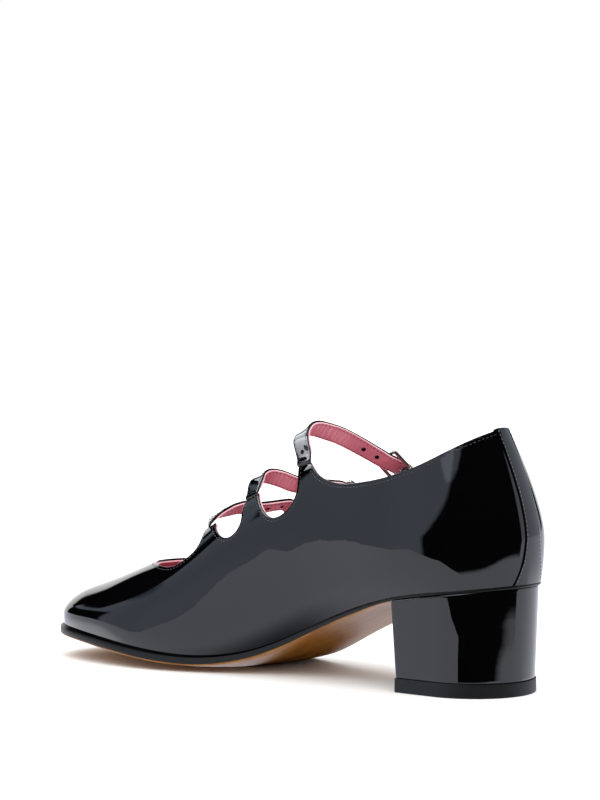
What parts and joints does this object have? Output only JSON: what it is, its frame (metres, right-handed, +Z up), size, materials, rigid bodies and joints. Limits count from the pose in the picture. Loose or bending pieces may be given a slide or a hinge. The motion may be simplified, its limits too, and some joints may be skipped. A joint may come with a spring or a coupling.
{
  "type": "strap pump shoe",
  "caption": "Black patent leather pump with buckled instep straps, cut-out sides, rounded toe, pink leather lining, tan leather sole and a covered block heel with a rubber lift.",
  "frame": {"origin": "centre of the shoe's bounding box, on the floor plane that the heel lift and the tread stand on", "axes": "+X from heel to toe, +Y to the inner (medial) side of the foot, +Z up from the floor"},
  "size_m": [0.2436, 0.0802, 0.1087],
  "materials": {
    "patent_leather": "high gloss patent, black",
    "heel_cover": "high gloss patent, black",
    "lining_leather": "matte, pink",
    "sole_leather": "satin, tan with a black edge",
    "lift_rubber": "matte, black",
    "buckle_metal": "polished dark nickel"
  },
  "bodies": {
    "root": {"upper": "patent_leather", "outsole": "sole_leather", "insole": "lining_leather", "heel_block": "heel_cover", "heel_lift": "lift_rubber", "strap_1": "patent_leather", "buckle_1": "buckle_metal", "prong_1": "buckle_metal", "buckle_tab_1": "patent_leather", "strap_2": "patent_leather", "buckle_2": "buckle_metal", "prong_2": "buckle_metal", "buckle_tab_2": "patent_leather", "strap_3": "patent_leather", "buckle_3": "buckle_metal", "prong_3": "buckle_metal", "buckle_tab_3": "patent_leather"}
  },
  "joints": []
}
